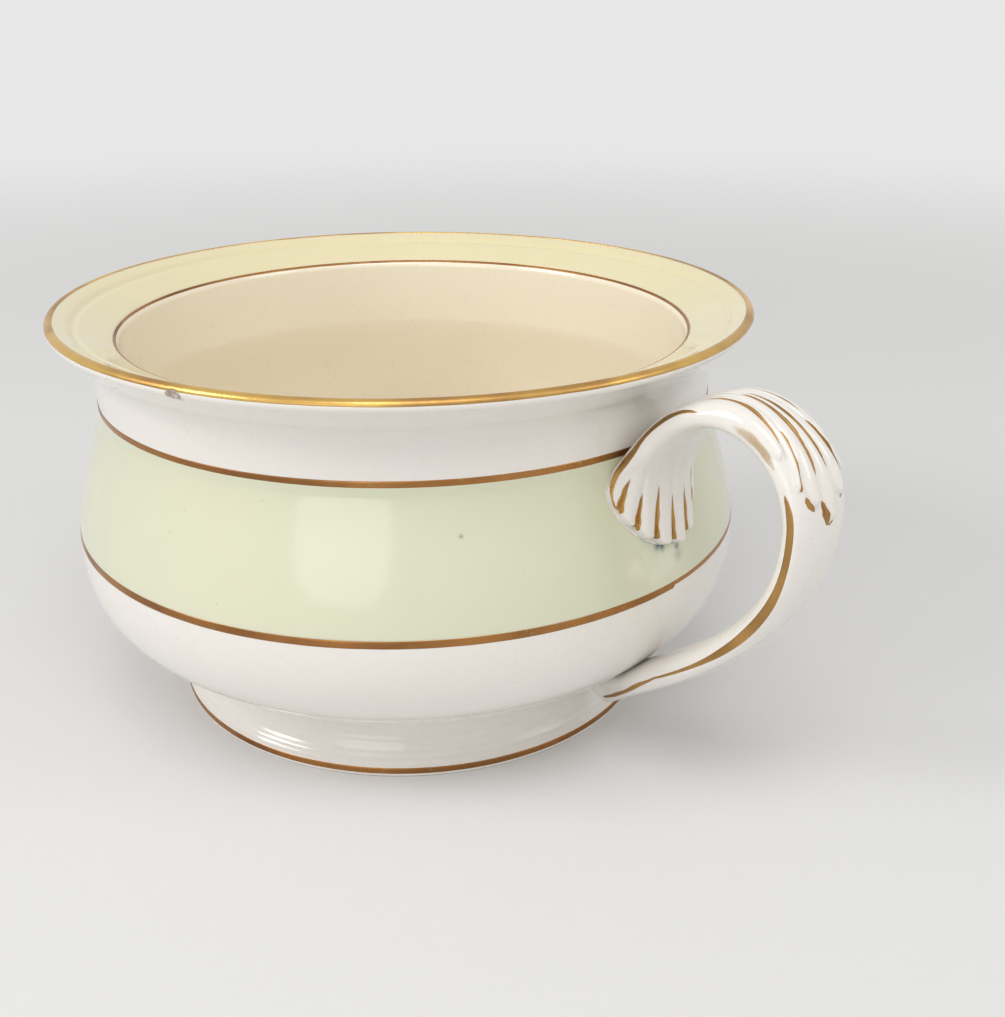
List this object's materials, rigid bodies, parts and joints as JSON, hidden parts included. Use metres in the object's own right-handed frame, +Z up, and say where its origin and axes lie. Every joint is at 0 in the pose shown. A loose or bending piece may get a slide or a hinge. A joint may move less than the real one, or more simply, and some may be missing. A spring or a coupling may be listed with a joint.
{
  "type": "chamber pot",
  "caption": "Round glazed chamber pot with a bulbous body, turned-out rim, flared foot ring and one moulded leaf handle, banded with pale grounds and gilt lines.",
  "frame": {"origin": "middle of the foot's resting circle, on the table", "axes": "+Z up along the pot's axis, +X from the axis towards the handle"},
  "size_m": [0.2634, 0.2186, 0.1278],
  "materials": {
    "glaze": "glossy clear glaze over a warm ivory body, finely crazed",
    "rim_ground": "glossy pale yellow-green ground",
    "body_ground": "glossy pale celadon ground",
    "gilding": "burnished gilding, worn to brown in places"
  },
  "bodies": {
    "root": {"bowl": "glaze", "foot_ring": "glaze", "handle": "glaze", "rim_green_band": "rim_ground", "body_green_band": "body_ground", "rim_gilt_edge": "gilding", "throat_gilt_line": "gilding", "shoulder_gilt_line": "gilding", "belly_gilt_line": "gilding", "foot_gilt_line": "gilding", "handle_edge_gilding": "gilding", "handle_leaf_gilding": "gilding", "handle_shell_gilding": "gilding"}
  },
  "joints": []
}
